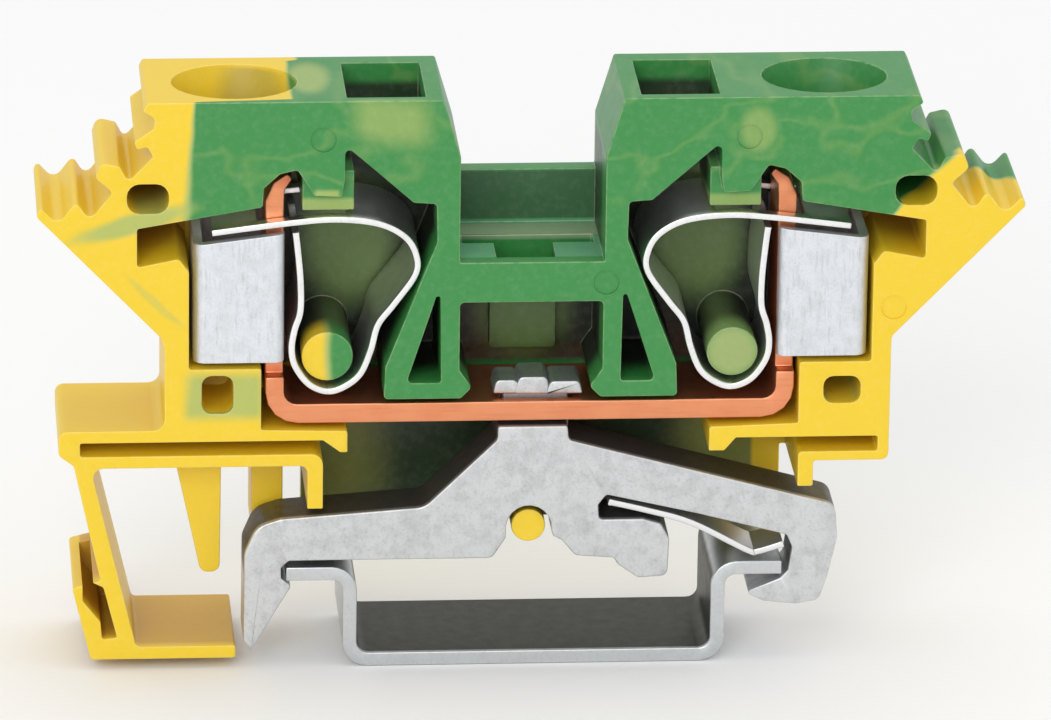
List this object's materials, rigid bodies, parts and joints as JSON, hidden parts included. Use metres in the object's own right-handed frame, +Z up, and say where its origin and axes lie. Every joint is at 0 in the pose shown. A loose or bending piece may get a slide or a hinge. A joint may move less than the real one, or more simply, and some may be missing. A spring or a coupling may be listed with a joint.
{
  "type": "din rail terminal block",
  "caption": "Earth terminal block with two spring clamps, joined by a copper bar to a foot that grips a short length of 35 mm rail.",
  "frame": {"origin": "middle of the rail's underside", "axes": "+X across the rail, +Y along it from the block's open side to its closed side, +Z up from the rail"},
  "size_m": [0.0689, 0.01, 0.042],
  "materials": {
    "polyamide": "green and yellow moulding, satin",
    "copper": "bare copper, rolled",
    "spring_steel": "bright strip",
    "guide_steel": "matt plated",
    "foot_steel": "zinc plated, grainy",
    "rail_steel": "zinc plated"
  },
  "bodies": {
    "rail": {"rail_section": "rail_steel"},
    "block": {"housing": "polyamide", "current_bar": "copper", "left_conductor_guide": "guide_steel", "right_conductor_guide": "guide_steel", "ground_foot": "foot_steel"},
    "left_clamp": {"left_clamp_spring": "spring_steel"},
    "right_clamp": {"right_clamp_spring": "spring_steel"},
    "leaf": {"foot_leaf_spring": "spring_steel"}
  },
  "joints": [
    {"name": "block_slide", "type": "slide", "parent": "rail", "child": "block", "axis": [0, 1, 0], "range_m": [-0.005, 0.005]},
    {"name": "left_clamp_open", "type": "slide", "parent": "block", "child": "left_clamp", "axis": [-0.9923, 0, -0.124], "range_m": [0, 0.004], "stiffness_N_per_m": 5000, "deforming": ["left_clamp_spring"]},
    {"name": "right_clamp_open", "type": "slide", "parent": "block", "child": "right_clamp", "axis": [0.9923, 0, -0.124], "range_m": [0, 0.004], "stiffness_N_per_m": 5000, "deforming": ["right_clamp_spring"]},
    {"name": "leaf_spring_flex", "type": "hinge", "parent": "block", "child": "leaf", "pos_m": [0.0052, -0.0029, 0.012], "axis": [0, -1, 0], "range_deg": [0, 2], "stiffness_Nm_per_rad": 0.5}
  ]
}
